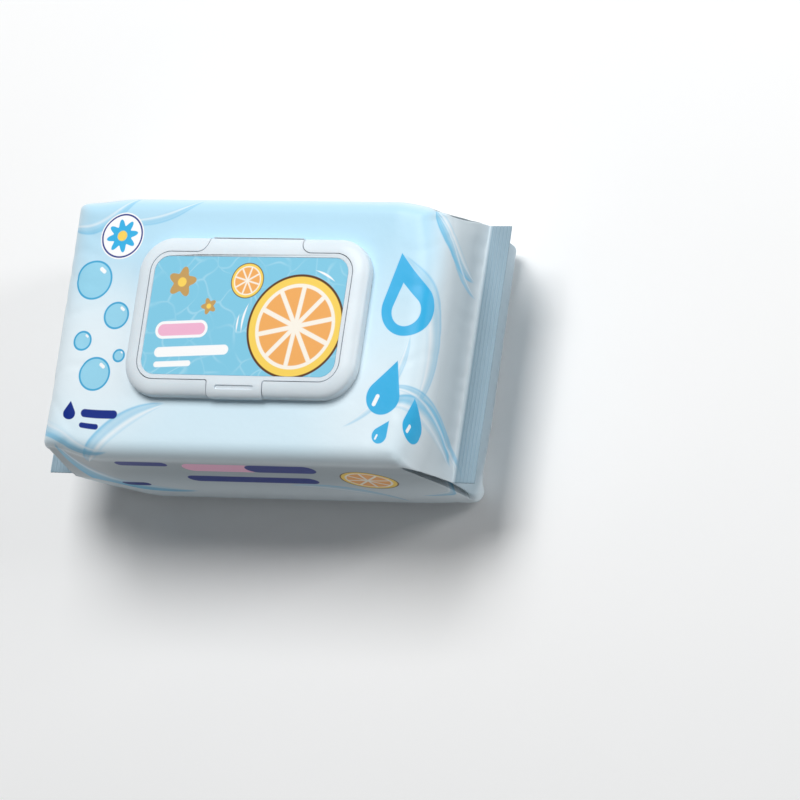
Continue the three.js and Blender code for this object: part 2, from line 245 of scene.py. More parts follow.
class Finish:
    """A material under construction, with one method for each kind of step."""

    def __init__(self, name, **shader_values):
        self.material = bpy.data.materials.new(name)
        self.material.use_nodes = True
        self.tree = self.material.node_tree
        self.tree.nodes.clear()
        self.shader = self.tree.nodes.new("ShaderNodeBsdfPrincipled")
        output = self.tree.nodes.new("ShaderNodeOutputMaterial")
        self.tree.links.new(self.shader.outputs["BSDF"], output.inputs["Surface"])
        for socket, value in shader_values.items():
            self.shader.inputs[socket.replace("_", " ")].default_value = value

    def node(self, kind, settings, *values, output=0, **named):
        """Add a node, set it, and feed its sockets in order or by name. None skips a socket."""
        node = self.tree.nodes.new(kind)
        for key, value in settings.items():
            setattr(node, key, value)
        sockets = list(zip(node.inputs, values))
        sockets += [(node.inputs[key.replace("_", " ")], value) for key, value in named.items()]
        for socket, value in sockets:
            if isinstance(value, Field):
                self.tree.links.new(value.socket, socket)
            elif value is not None:
                socket.default_value = value
        return Field(self, node.outputs[output])

    def feed(self, socket, field):
        self.tree.links.new(field.socket, self.shader.inputs[socket])

    def object_place(self):
        """Place on the piece in millimetres, as a vector."""
        place = self.node("ShaderNodeTexCoord", {}, output=3)
        return self.scaled(place)

    def film_place(self):
        """Place on the flat film in millimetres: along the pack, and round it from the top's middle."""
        return self.parts(self.scaled(self.node("ShaderNodeUVMap", {"uv_map": "film"})))

    def scaled(self, place):
        return self.node("ShaderNodeVectorMath", {"operation": "SCALE"}, place, None, None, 1 / MM)

    def parts(self, place):
        """The x and y of a place."""
        return [self.node("ShaderNodeSeparateXYZ", {}, place, output=k) for k in (0, 1)]

    def join(self, x, y):
        return self.node("ShaderNodeCombineXYZ", {}, x, y, 0.0)

    def paint(self, under, over, cover):
        """Lay one colour over another where the cover is 1."""
        settings = {"data_type": "RGBA", "clamp_factor": True}
        other_kinds = [None] * 5  # the node's number and vector sockets
        colours = [value if isinstance(value, Field) else (*value, 1.0) for value in (under, over)]
        return self.node("ShaderNodeMix", settings, cover, *other_kinds, *colours, output=2)

    def noise(self, place, scale, detail=2.0, roughness=0.5):
        return self.node(
            "ShaderNodeTexNoise", {}, place, Scale=scale, Detail=detail, Roughness=roughness
        )

    def bump(self, height, strength, distance):
        normal = self.node("ShaderNodeBump", {}, Strength=strength, Distance=distance, Height=height)
        self.feed("Normal", normal)


# Shapes of the print. Each takes a place (x, y) and gives the distance in millimetres to an
# outline, negative inside. Plain numbers keep the shader's short memory free, where vectors fill it.


def turned(place, centre, degrees=0.0):
    """The place seen from a centre, with the axes turned."""
    x = place[0] - centre[0]
    y = place[1] - centre[1]
    if not degrees:
        return x, y
    cosine = math.cos(math.radians(degrees))
    sine = math.sin(math.radians(degrees))
    return x * cosine + y * sine, y * cosine - x * sine


def away(x, y):
    """Distance from the centre."""
    return (x * x + y * y).math("SQRT")


def disc(place, centre, radius):
    """A round spot."""
    return away(*turned(place, centre)) - radius


def pill(place, centre, length, width, degrees=0.0):
    """A bar with round ends."""
    x, y = turned(place, centre, degrees)
    return away((abs(x) - (length - width) / 2).at_least(0.0), y) - width / 2


def teardrop(place, centre, radius, tip, degrees=0.0):
    """A round drop drawn out to a point, tip times its radius from its centre."""
    x, y = turned(place, centre, degrees)
    lean = math.asin(1 / tip)
    cone = abs(x) * math.cos(lean) + y * math.sin(lean) - radius
    cone = cone.at_least(radius * math.sin(lean) - y)
    return (away(x, y) - radius).at_most(cone)


def flower(place, centre, radius, petals, degrees=0.0):
    """A round shape with a wavy outline, whose petals are a fifth of its radius."""
    x, y = turned(place, centre, degrees)
    angle = y.math("ARCTAN2", x)
    wave = 0.2 * radius
    return away(x, y) - (angle * petals).math("COSINE") * wave - 0.8 * radius


def ribbon(place, centre, radius, width, middle, half_span):
    """A band along an arc, drawn out to a point at both ends; middle and half_span are in degrees."""
    x, y = turned(place, centre, middle)
    share = y.math("ARCTAN2", x) / math.radians(half_span)
    return abs(away(x, y) - radius) - (1.0 - share * share) * (width / 2)


# Film


class Station:
    """One line across half of the film, from the middle of the pack out to a fin's cut end."""

    def __init__(self, x, z, rib=0.0):
        self.x = x
        self.z = z
        self.rib = rib
        self.normal = Vector((0, 0, 1))
        self.along = 0.0
        self.radius = 0.0
        self.half_width = 0.0
        self.side = None
        self.corner_share = 0.0
        self.pull_share = 0.0


class Corner:
    """How one corner of the top or the underside differs from a square one, in millimetres and shares."""

    def __init__(self, slope_start=0.0, advance=0.0, pull=0.0):
        self.slope_start = slope_start  # where the end flap's edge starts its straight slope, from mid-pack
        self.advance = advance  # how far the film runs ahead along that edge, as a share of its length
        self.pull = pull  # how far the shoulder is drawn in towards the pack's middle line


class Gusset:
    """The tuck at one corner of the pack, in millimetres."""

    def __init__(self, inset=7.6, lean=0.0, pull=0.0, depth=0.0):
        self.inset = inset  # from the fin's root to the upright fold
        self.lean = lean  # how far the fold leans out at mid-height
        self.pull = pull  # how far the long side is drawn in at the fold, at mid-height
        self.depth = depth


UPPER_CORNERS = {
    (1, -1): Corner(slope_start=78),
    (1, 1): Corner(slope_start=76, pull=2.6),
    (-1, -1): Corner(pull=4.6),
    (-1, 1): Corner(pull=2.4),
}
LOWER_CORNERS = {
    (1, -1): Corner(slope_start=87.2, advance=0.6, pull=0.8),
    (1, 1): Corner(pull=1.5),
    (-1, -1): Corner(pull=3.4),
    (-1, 1): Corner(pull=3.0),
}
GUSSETS = {
    (1, -1): Gusset(inset=7.8, lean=3.6, depth=12),
    (1, 1): Gusset(inset=7.6, lean=3.5, depth=10),
    (-1, -1): Gusset(inset=2.2, lean=0.4, pull=-0.4, depth=2),
    (-1, 1): Gusset(inset=2.2, lean=0.4, pull=1.4, depth=2.5),
}

# Steps along the film from mid-pack to a fin, and rows round it from mid-top to mid-height
FLAT_STEPS = 38
SHOULDER_STEPS = 26
FLAP_STEPS = 12
FLARE_STEPS = 10
STEPS_PER_RIB = 8
TOP_ROWS = 28
CORNER_ROWS = 8
PANEL_ROWS = 18
ROWS = TOP_ROWS + CORNER_ROWS + PANEL_ROWS
FIN_STATION = FLAT_STEPS + SHOULDER_STEPS + FLAP_STEPS + FLARE_STEPS  # the first one on a fin
SLOPE_LEAD = 10 * MM  # how far before the shoulder a sloping edge starts to leave the top
KNEE_DROP = 1.2 * MM  # how far below the top its straight slope starts
KNEE_SOFTNESS = 0.07  # the share of its length over which its bend is rounded
KNEE_FADE = 8  # how fast that rounding grows from either end
PULL_LEAD = 15 * MM  # how far before the shoulder a corner starts to be drawn in
PULL_HASTE = 1.3  # above 1, it is fully drawn in before the shoulder's end
FOLD_HASTE = 1.05  # above 1, the long edge narrows to a fold before the shoulder's end
EDGE_REACH = 3.5  # the higher, the nearer to the pack's long edge a corner's change stays
FOLD_LEAD = 30 * MM  # how far before its fold a gusset starts to shape the long side
SWELL_LEAD = 25 * MM  # how far before the fold the long side's swell starts to fade
POCKET_ROUNDNESS = 0.6  # the lower, the squarer a gusset's pocket is along the pack
POCKET_HASTE = 5  # how soon below the edge the pocket reaches its depth
POCKET_RECEDE = 0.4  # how far the pocket runs back into the pack, as a share of its depth
MERGE_DISTANCE = 0.004 * MM

END_LEAD = 12 * MM  # how far before the shoulder the swells and creases start
END_RISE = 14 * MM
FLAP_LEAD = 5 * MM  # how far before the fin's root the puckers start
FLAP_RISE = 3 * MM
SWELL_SEED = Vector((3.1, 7.7, 1.3))
SWELL_LENGTH = 42 * MM
SWELL_HEIGHT = 0.35
PUCKER_LENGTH = 7.5 * MM
PUCKER_DRIFT_LENGTH = 16 * MM
PUCKER_REACH = 7 * MM  # how far the puckers reach up and down the end flaps from the fin
PUCKER_HEIGHT = 0.22
CREASES = (5, 9, 6)  # cells of the crease pattern in one lid's length, each way
CREASE_SHARPNESS = 5
CREASE_HEIGHT = 0.28
FIN_WAVE_LENGTH = 26 * MM

LID_MARGIN = 3 * MM  # how far round the lid the film is pressed flatter
LID_DEPTH = 2 * MM  # how far below the top the film counts as being under the lid
GLUE_GAP = 0.06 * MM
SEAM_CATCH = 0.3 * MM  # how far above the seam the film is still pressed on to it


def film_line(sizes, flare_reach):
    """The film's outline in the pack's long section, on its upper half."""
    top = FILM_HIGH.z
    root = FILM_HIGH.x - sizes.fin_length
    end = root - flare_reach
    flat_end = root - sizes.shoulder_run
    fin_face = top / 2 + sizes.fin_thickness / 2
    flare_top = fin_face + sizes.flare_height
    stations = [Station(flat_end * k / FLAT_STEPS, top) for k in range(FLAT_STEPS)]
    near = sizes.shoulder_ease
    corner = (
        Vector((flat_end, top)),
        Vector((end - near, top)),
        Vector((end, top - near)),
        Vector((end, top - sizes.shoulder_drop)),
    )
    for k in range(SHOULDER_STEPS):
        t = k / SHOULDER_STEPS
        a = (1 - t) ** 3 * corner[0] + 3 * t * (1 - t) ** 2 * corner[1]
        b = 3 * t * t * (1 - t) * corner[2] + t ** 3 * corner[3]
        stations.append(Station(*(a + b)))
    for k in range(FLAP_STEPS):
        stations.append(Station(end, blend(top - sizes.shoulder_drop, flare_top, k / FLAP_STEPS)))
    for k in range(FLARE_STEPS):
        turn = math.pi / 2 * k / FLARE_STEPS
        x = end + flare_reach * (1 - math.cos(turn))
        z = flare_top - sizes.flare_height * math.sin(turn)
        stations.append(Station(x, z))
    steps = sizes.ribs * STEPS_PER_RIB
    for k in range(steps + 1):
        wave = math.sin(2 * math.pi * k / STEPS_PER_RIB)
        x = blend(root, FILM_HIGH.x, k / steps)
        stations.append(Station(x, fin_face, sizes.fin_rib / 2 * wave))
    return stations


def film_stations(sizes, flare_reach):
    """The stations with their normals, distances along the film, edge radii and widths."""
    stations = film_line(sizes, flare_reach)
    for k, station in enumerate(stations):
        before = stations[max(k - 1, 0)]
        station.along = before.along + math.hypot(station.x - before.x, station.z - before.z)
        if k < FIN_STATION:
            after = stations[k + 1]
            slope = Vector((after.x - before.x, 0, after.z - before.z)).normalized()
            station.normal = Vector((-slope.z, 0, slope.x))
    shoulder_start = stations[FLAT_STEPS].along
    shoulder_end = stations[FLAT_STEPS + SHOULDER_STEPS].along
    root_along = stations[FIN_STATION].along
    slope_start = shoulder_start - SLOPE_LEAD
    pull_start = shoulder_start - PULL_LEAD
    for station in stations:
        over_shoulder = (station.along - shoulder_start) / (shoulder_end - shoulder_start)
        station.radius = blend(sizes.edge_radius, sizes.fold_radius, ease(over_shoulder * FOLD_HASTE))
        towards_fin = (station.along - shoulder_end) / (root_along - shoulder_end)
        station.radius = blend(station.radius, sizes.fin_thickness / 2, ease(towards_fin))
        narrowing = (station.along - shoulder_start) / (root_along - shoulder_start)
        station.half_width = FILM_HIGH.y - sizes.fin_inset * ease(narrowing)
        station.side = Vector((station.x, 0, station.z)) - station.normal * station.radius
        station.corner_share = (station.along - slope_start) / (root_along - slope_start)
        pull_rise = ease((station.along - pull_start) / (shoulder_end - pull_start) * PULL_HASTE)
        station.pull_share = pull_rise * (1 - ease(towards_fin))
    return stations


def tucks(stations, gusset, sizes):
    """How far into a gusset each station lies: 0 at the fold and 1 at the fin's root."""
    fold = FILM_HIGH.x - sizes.fin_length - gusset.inset * MM
    start = next(station.along for station in stations if station.side.x >= fold)
    root = stations[FIN_STATION].along
    return [min(max((station.along - start) / (root - start), 0.0), 1.0) for station in stations]


def on_route(route, share):
    """The point at a share of the length of a route of straight runs."""
    runs = [(b - a).length for a, b in zip(route, route[1:])]
    left = min(max(share, 0.0), 1.0) * sum(runs)
    for a, b, run in zip(route, route[1:], runs):
        if left <= run:
            return a.lerp(b, left / run)
        left -= run
    return route[-1].copy()


def slope_shift(station, corner, sizes):
    """How far a sloping flap edge takes a station from the film's middle outline."""
    share = station.corner_share
    if not corner.slope_start or share <= 0 or share >= 1:
        return Vector((0, 0, 0))
    end = FILM_HIGH.x - sizes.fin_length
    root = Vector((end, 0, FILM_HIGH.z / 2 + sizes.fin_thickness / 2))
    lead = Vector((end - sizes.shoulder_run - SLOPE_LEAD, 0, FILM_HIGH.z))
    knee = Vector((corner.slope_start * MM, 0, FILM_HIGH.z - KNEE_DROP))
    spread = KNEE_SOFTNESS * min(1, share * KNEE_FADE, (1 - share) * KNEE_FADE)
    ahead = share + corner.advance * share * (1 - share)
    samples = [on_route((lead, knee, root), ahead + spread * k) for k in (-1, -0.5, 0, 0.5, 1)]
    target = sum(samples, Vector((0, 0, 0))) / len(samples)
    return target - Vector((station.x, 0, station.z))


def meeting(station, tuck, gusset, sizes):
    """Where the halves of a station meet at mid-height, how deep it is tucked, and how far it swells."""
    root = FILM_HIGH.x - sizes.fin_length
    fold = root - gusset.inset * MM
    near_fold = ease((station.side.x - fold + FOLD_LEAD) / FOLD_LEAD)
    pull = gusset.pull * MM * near_fold * (1 - tuck)
    x = station.side.x + gusset.lean * MM * near_fold
    if tuck > 0:
        x = blend(fold + gusset.lean * MM, root, tuck) if tuck < 1 else station.x
    place = Vector((x, -station.half_width + pull, FILM_HIGH.z / 2))
    pocket = gusset.depth * MM * math.sin(math.pi * tuck) ** POCKET_ROUNDNESS
    swell = ease((fold - station.side.x) / SWELL_LEAD) * sizes.side_bulge
    return place, pocket, swell


def film_point(station, row, corner, middle, sizes):
    """A point on the upper front quarter: row 0 is the middle of the top, the last row is at mid-height."""
    radius = station.radius
    inner = station.half_width - radius
    on_line = Vector((station.x, 0, station.z))
    shift = slope_shift(station, corner, sizes)
    shift.y = corner.pull * MM * station.pull_share
    if row <= TOP_ROWS:
        share = row / TOP_ROWS
        return on_line + Vector((0, -inner * share, 0)) + shift * share ** EDGE_REACH
    if row <= TOP_ROWS + CORNER_ROWS:
        turn = math.pi / 2 * (row - TOP_ROWS) / CORNER_ROWS
        centre = on_line - station.normal * radius
        outward = station.normal * math.cos(turn) + Vector((0, -math.sin(turn), 0))
        return centre + Vector((0, -inner, 0)) + outward * radius + shift
    place, pocket, swell = middle
    t = (row - TOP_ROWS - CORNER_ROWS) / PANEL_ROWS
    edge = station.side + Vector((0, -station.half_width, 0)) + shift
    deep = pocket * ease(t * POCKET_HASTE)
    inward = deep - swell * math.sin(math.pi / 2 * t)
    return edge.lerp(place, t) + Vector((-POCKET_RECEDE * deep, inward, 0))


def wrinkle(point, sizes):
    """How far the film stands off its smooth form, in metres."""
    root = FILM_HIGH.x - sizes.fin_length
    shoulder = root - sizes.shoulder_run
    near_end = ease((abs(point.x) - shoulder + END_LEAD) / END_RISE)
    on_flap = ease((abs(point.x) - root + FLAP_LEAD) / FLAP_RISE) if abs(point.x) < root else 0
    swell = noise.noise(point / SWELL_LENGTH + SWELL_SEED) * SWELL_HEIGHT
    drift = 2 * noise.noise(Vector((point.y / PUCKER_DRIFT_LENGTH, 4.2, math.copysign(2, point.x))))
    fading = math.exp(-abs(point.z - FILM_HIGH.z / 2) / PUCKER_REACH)
    pucker = math.sin(2 * math.pi * point.y / PUCKER_LENGTH + drift) * fading
    lid = FRAME_HIGH.x - FRAME_LOW.x
    cell = Vector([part / lid * count for part, count in zip(point, CREASES)])
    crease = max(1 - abs(noise.noise(cell)) * CREASE_SHARPNESS, 0.0) ** 2
    return (swell * near_end + PUCKER_HEIGHT * pucker * on_flap - CREASE_HEIGHT * crease * near_end) * MM


def under_lid(point):
    """1 where the film is glued flat under the lid, easing to 0 around it."""
    x = max(FRAME_LOW.x - point.x, point.x - FRAME_HIGH.x)
    y = max(FRAME_LOW.y - point.y, point.y - FRAME_HIGH.y)
    if point.z < FILM_HIGH.z - LID_DEPTH:
        return 0.0
    return 1 - ease(max(x, y) / LID_MARGIN)


class Spot:
    """Where a vertex of the flat sheet goes: its corner of the pack, its station and its row."""

    def __init__(self, vert, columns):
        lines = 4 * ROWS
        column = round((vert.co.x + 1) / 2 * columns) - columns // 2
        line = round((vert.co.y + 1) / 2 * lines)
        quarter, step = divmod(line, ROWS)
        self.row = (step, ROWS - step, step, ROWS - step, 0)[quarter]
        self.station = abs(column)
        self.end = 1 if column >= 0 else -1
        self.side = 1 if line > 2 * ROWS else -1
        self.underneath = line < ROWS or line > 3 * ROWS


def build_film(sizes):
    """The film as one flat sheet, wrapped round the stack, tucked and crimped."""
    wide = film_stations(sizes, sizes.wide_flare)
    slight = film_stations(sizes, sizes.slight_flare)
    upper = {1: wide, -1: slight}
    columns = 2 * (len(wide) - 1)
    bm = bmesh.new()
    bmesh.ops.create_grid(bm, x_segments=columns, y_segments=4 * ROWS, size=1)
    flat = bm.loops.layers.uv.new("film")
    spots = {vert: Spot(vert, columns) for vert in bm.verts}
    lay_print(bm, flat, spots, upper, row_distances(wide[0], sizes))
    wrap(spots, upper, slight, sizes)
    bmesh.ops.recalc_face_normals(bm, faces=bm.faces)
    bm.normal_update()
    loosen(bm, sizes)
    settle(bm, sizes)
    bmesh.ops.remove_doubles(bm, verts=bm.verts, dist=MERGE_DISTANCE)
    rims = [edge for edge in bm.edges if edge.is_boundary]
    bmesh.ops.holes_fill(bm, edges=rims, sides=0)
    bmesh.ops.recalc_face_normals(bm, faces=bm.faces)
    return bm


def row_distances(station, sizes):
    """How far round the pack each row lies from the top's middle line."""
    middle = meeting(station, 0, Gusset(), sizes)
    down = [film_point(station, row, Corner(), middle, sizes) for row in range(ROWS + 1)]
    distances = [0.0]
    for a, b in zip(down, down[1:]):
        distances.append(distances[-1] + (b - a).length)
    return distances


def lay_print(bm, flat, spots, upper, distances):
    """Give the film's faces their places on the flat sheet, where the print is laid out."""
    girth = distances[-1]
    for face in bm.faces:
        for loop in face.loops:
            spot = spots[loop.vert]
            distance = distances[spot.row]
            reach = 2 * girth - distance if spot.underneath else distance
            loop[flat].uv = (spot.end * upper[spot.end][spot.station].along, spot.side * reach)


def wrap(spots, upper, lower, sizes):
    """Carry the flat sheet's vertices round the stack."""
    middles = {}
    for (end, side), gusset in GUSSETS.items():
        stations = upper[end]
        shares = tucks(stations, gusset, sizes)
        middles[end, side] = [meeting(s, tuck, gusset, sizes) for s, tuck in zip(stations, shares)]
    for vert, spot in spots.items():
        key = (spot.end, spot.side)
        station = (lower if spot.underneath else upper[spot.end])[spot.station]
        corner = (LOWER_CORNERS if spot.underneath else UPPER_CORNERS)[key]
        point = film_point(station, spot.row, corner, middles[key][spot.station], sizes)
        point.x *= spot.end
        point.y *= -spot.side
        if spot.underneath:
            point.z = FILM_HIGH.z - point.z
        point.z += station.rib
        vert.co = point


def loosen(bm, sizes):
    """Wrinkle the film, except on its fins, and let the fins wave up and down."""
    root = FILM_HIGH.x - sizes.fin_length
    for vert in bm.verts:
        on_fin = ease((abs(vert.co.x) - root + 1 * MM) / MM)
        vert.co += vert.normal * wrinkle(vert.co, sizes) * (1 - on_fin) * (1 - under_lid(vert.co))
        out = ease((abs(vert.co.x) - root) / sizes.fin_length)
        wave = noise.noise(Vector((vert.co.y / FIN_WAVE_LENGTH, math.copysign(3, vert.co.x), 0.5)))
        vert.co.z += sizes.fin_wave * wave * out


def settle(bm, sizes):
    """Flatten the film where the pack lies on it and where the lid is glued on, and press its seam flat."""
    glued = FILM_HIGH.z - GLUE_GAP
    for vert in bm.verts:
        in_seam = abs(vert.co.y) < sizes.seam_width / 2
        rest = 0.0 if in_seam else sizes.seam_thickness
        if in_seam and vert.co.z < sizes.seam_thickness + SEAM_CATCH:
            vert.co.z = rest
        vert.co.z = max(vert.co.z, rest)
        if under_lid(vert.co) > 0.5:
            vert.co.z = min(vert.co.z, glued)


# Print on the film, with painted shade and painted highlights. A pair of places says where a colour starts
# and where it is full, in millimetres
# on the flat film: P runs along the pack from its middle, and Q round it from the top's middle line.

FAR_Q = (-15.0, 48.0)
END_P = (76.0, 94.0)
SIDE_Q = (50.0, 60.0)
# Where the painted shade on the long sides and the end flaps lies
SIDE_SHADE_Q = (55.0, 63.0)
SIDE_SHADE_FOOT_Q = (106.0, 70.0)
FLAP_SHADE_P = (86.0, 100.0)
FLAP_SHADE_FOOT_P = (118.0, 108.0)
FLAP_SHADE_Q = (64.0, 56.0)
# Where the painted shade on the lower end flaps and inside the gussets lies
LOWER_FLAP_P = (80.0, 90.0)
LOWER_FLAP_Q = (111.0, 116.0)
GUSSET_TOP_Q = (59.5, 60.5)
GUSSET_FOOT_Q = (113.5, 112.5)
# Painted highlights: soft pale pools on the top where it catches the most light
PAINTED_HIGHLIGHTS = (
    # centre, where it starts and where it is full from there, strength
    ((-66, -14), (50.0, 8.0), 0.8),
    ((66, -36), (40.0, 6.0), 0.55),
)


def finish_film(inks, sizes):
    """Gloss film with its print, painted shade and painted highlights."""
    finish = Finish("printed_film", Roughness=0.36, IOR=1.5, Specular_IOR_Level=0.25)
    place = finish.film_place()
    p, q = place
    ground = finish.paint(inks.film_near, inks.film_far, q.rising(*FAR_Q))
    # Painted highlights: pale pools laid over the top's ground
    for centre, span, strength in PAINTED_HIGHLIGHTS:
        painted_highlight = disc(place, centre, 0.0).rising(*span)
        ground = finish.paint(ground, inks.film_painted_highlight, painted_highlight * strength)
    ends = abs(p).rising(*END_P)
    sides = abs(q).rising(*SIDE_Q)
    ground = finish.paint(ground, inks.film_side, ends.at_least(sides) * 0.9)
    # Painted shade on the long sides below the top's edge and on the end flaps
    side_painted_shade = abs(q).rising(*SIDE_SHADE_Q) * abs(q).rising(*SIDE_SHADE_FOOT_Q)
    on_flap = abs(p).rising(*FLAP_SHADE_P) * abs(q).rising(*FLAP_SHADE_Q)
    on_flap = on_flap * abs(p).rising(*FLAP_SHADE_FOOT_P)
    ground = finish.paint(ground, inks.film_painted_shade, side_painted_shade.at_least(on_flap * 0.45))
    ground = film_swirls(finish, place, ground, inks)
    ground = film_folds(finish, place, ground, inks, sizes)
    ground = film_bubbles(finish, place, ground, inks)
    ground = film_drops(finish, place, ground, inks)
    ground = film_badge(finish, place, ground, inks)
    ground = film_sides(finish, place, ground, inks)
    finish.feed("Base Color", ground)
    body = finish.object_place()
    broad = finish.noise(body, scale=0.045, detail=2.0)
    fine = finish.noise(body, scale=0.35, detail=3.0)
    finish.bump(broad * 0.8 + fine * 0.2, strength=0.35, distance=0.8 * MM)
    return finish.material


def film_folds(finish, place, ground, inks, sizes):
    """Painted shade: the dark inside of the +X gussets, and the greyer film of the lower end flaps and the
    fins.
    """
    p, q = place
    stations = film_stations(sizes, sizes.wide_flare)
    fin_start = stations[FIN_STATION].along / MM
    shares = tucks(stations, GUSSETS[1, -1], sizes)
    fold = next(s.along for s, share in zip(stations, shares) if share > 0) / MM
    # Painted shade in the deep pockets of the +X gussets
    inside = p.rising(fold + 0.5, fold + 3.5) * p.rising(fin_start, fin_start - 3)
    between = abs(q).rising(*GUSSET_TOP_Q) * abs(q).rising(*GUSSET_FOOT_Q)
    ground = finish.paint(ground, inks.tuck, inside * between * 0.9)
    # Painted shade on the lower end flaps, and below on the fins
    lower_flap_shade = abs(p).rising(*LOWER_FLAP_P) * abs(q).rising(*LOWER_FLAP_Q)
    ground = finish.paint(ground, inks.fin, lower_flap_shade * 0.65)
    return finish.paint(ground, inks.fin, abs(p).rising(fin_start, fin_start + 1.5) * 0.9)


SWIRLS = (
    # centre, radius, width, middle and half of its span in degrees, strength
    ((38, -8), 50, 9, 14, 40, 0.55),
    ((34, -2), 43, 4, 328, 34, 0.5),
    ((118, 60), 34, 8, 222, 40, 0.9),
    ((130, 66), 48, 5, 224, 28, 0.7),
    ((84, -66), 37, 9, 76, 40, 1.0),
    ((78, -74), 50, 5, 66, 36, 0.8),
    ((-20, -84), 52, 8, 130, 30, 0.7),
    ((-60, -18), 36, 7, 240, 40, 0.9),
    ((-88, 76), 36, 6, 296, 34, 0.7),
    ((-58, 94), 50, 4, 284, 26, 0.6),
    ((20, -128), 40, 7, 62, 40, 0.6),
    ((-38, -60), 42, 13, 222, 52, 1.6),
    ((60, -60), 42, 7, 310, 34, 0.8),
    ((-20, 120), 44, 7, 250, 36, 0.7),
    ((62, 104), 30, 6, 206, 40, 0.7),
)


def film_swirls(finish, place, ground, inks):
    """Glassy ribbons of swirling water, streaked along their length, with a light and a dark edge."""
    streaks_across = 7.0
    glint_across = 0.45
    rim_across = 0.86
    for centre, radius, width, middle, half_span, strength in SWIRLS:
        x, y = turned(place, centre, middle)
        angle = y.math("ARCTAN2", x)
        share = angle / math.radians(half_span)
        taper = (1.0 - share * share).at_least(0.0)
        half_width = taper * (width / 2) + 0.05
        reach = away(x, y) - radius
        across = reach / half_width
        cover = (abs(reach) - half_width).inside(0.8) * taper.rising(0.0, 0.35)
        wander = (angle * (radius / 9)).math("SINE") * 0.8
        streaks = (across * streaks_across + wander + radius).math("SINE") * 0.5 + 0.5
        tone = across.rising(-1.4, 1.1) * 0.75 + streaks * 0.3
        ground = finish.paint(ground, inks.swirl, cover * tone * strength)
        glint = (abs(across + glint_across) - 0.14).inside(0.5) * cover
        ground = finish.paint(ground, inks.white, glint * 0.7)
        rim = (abs(across - rim_across) - 0.1).inside() * cover
        ground = finish.paint(ground, inks.drop, rim * 0.3)
    return ground


def film_bubbles(finish, place, ground, inks):
    """Outlined bubbles with a highlight, to the left of the lid."""
    bubbles = (
        # centre, radius
        ((-72, 19), 8.4),
        ((-59, 4), 5.8),
        ((-73, -7), 4.2),
        ((-55, -13), 2.8),
        ((-65, -21), 7.2),
    )
    for centre, radius in bubbles:
        outline = disc(place, centre, radius)
        ground = finish.paint(ground, inks.bubble, outline.inside())
        ground = finish.paint(ground, inks.bubble_rim, (abs(outline + 0.35) - 0.4).inside())
        shine = (centre[0] + 0.42 * radius, centre[1] + 0.5 * radius)
        glint = pill(place, shine, 0.42 * radius, 0.2 * radius, -38)
        ground = finish.paint(ground, inks.white, glint.inside())
    return ground


def film_drops(finish, place, ground, inks):
    """Large drops at the pack's +X end."""
    tip = 2.1
    hollow = -teardrop(place, (73.6, 8), 6.4, 1.9, 14)
    ring = teardrop(place, (74, 9), 11.5, tip, 14).at_least(hollow)
    ground = finish.paint(ground, inks.drop, ring.inside(0.35))
    small_drops = (
        # centre, radius, turn in degrees
        ((69, -28), 7.5, -16),
        ((85, -37), 5.2, 10),
        ((70, -44), 3.4, -30),
    )
    for centre, radius, turn in small_drops:
        drop = teardrop(place, centre, radius, tip, turn)
        ground = finish.paint(ground, inks.drop, drop.inside(0.35))
        shine = (centre[0] - 0.4 * radius, centre[1] - 0.2 * radius)
        glint = pill(place, shine, 0.7 * radius, 0.24 * radius, 70)
        ground = finish.paint(ground, inks.white, glint.inside())
    return ground


def film_badge(finish, place, ground, inks):
    """A white disc with a daisy, at the top's far corner, and a small drop by the near one."""
    centre = (-62, 38)
    outline = disc(place, centre, 10)
    ground = finish.paint(ground, inks.white, outline.inside())
    ground = finish.paint(ground, inks.navy, (abs(outline + 0.9) - 0.35).inside(0.25))
    ground = finish.paint(ground, inks.drop, flower(place, centre, 7.2, 8, 11).inside())
    ground = finish.paint(ground, inks.rind, disc(place, centre, 2.2).inside())
    return finish.paint(ground, inks.navy, teardrop(place, (-74, -39), 2.9, 2.0).inside())


def film_sides(finish, place, ground, inks):
    """Bars and a fruit slice along both long sides, and bars by the top's near edge."""
    bars = (
        # centre, length, width, ink
        ((-8, -66), 34, 9, inks.pink),
        ((20, -66), 32, 9, inks.navy),
        ((0, -81), 60, 8, inks.navy),
        ((-43, -63), 24, 5, inks.navy),
        ((-60, -92), 13, 5, inks.navy),
    )
    for side in (-1, 1):
        for (x, y), length, width, tint in bars:
            bar = pill(place, (-side * x, side * -y), length, width)
            ground = finish.paint(ground, tint, bar.inside(0.35))
        ground = citrus(finish, place, ground, (-side * 54, side * 78), 11.5, 8, inks)
    for centre, length, width in (((-60, -38), 17, 3.6), ((-64, -43.4), 9, 2.4)):
        ground = finish.paint(ground, inks.navy, pill(place, centre, length, width).inside(0.35))
    return ground


def citrus(finish, place, ground, centre, radius, segments, inks, degrees=0.0):
    """A round fruit slice: outline, rind, pale pith and segments."""
    x, y = turned(place, centre, degrees)
    from_centre = away(x, y)
    wedge = 2 * math.pi / segments
    angle = (y.math("ARCTAN2", x) + 2 * math.pi).math("MODULO", wedge)
    from_spoke = from_centre * (wedge / 2 - abs(angle - wedge / 2)).math("SINE")
    spoke = 0.045 * radius
    hub = 0.12 * radius
    flesh_edge = 0.75 * radius
    pith_edge = 0.82 * radius
    rind_edge = 0.955 * radius
    flesh = (spoke - from_spoke).at_least(from_centre - flesh_edge)
    flesh = flesh.at_least(hub - from_centre)
    ground = finish.paint(ground, inks.outline, (from_centre - radius).inside())
    ground = finish.paint(ground, inks.rind, (from_centre - rind_edge).inside())
    ground = finish.paint(ground, inks.white, (from_centre - pith_edge).inside(0.4) * 0.8)
    return finish.paint(ground, inks.flesh, flesh.inside(0.4))


# Lid


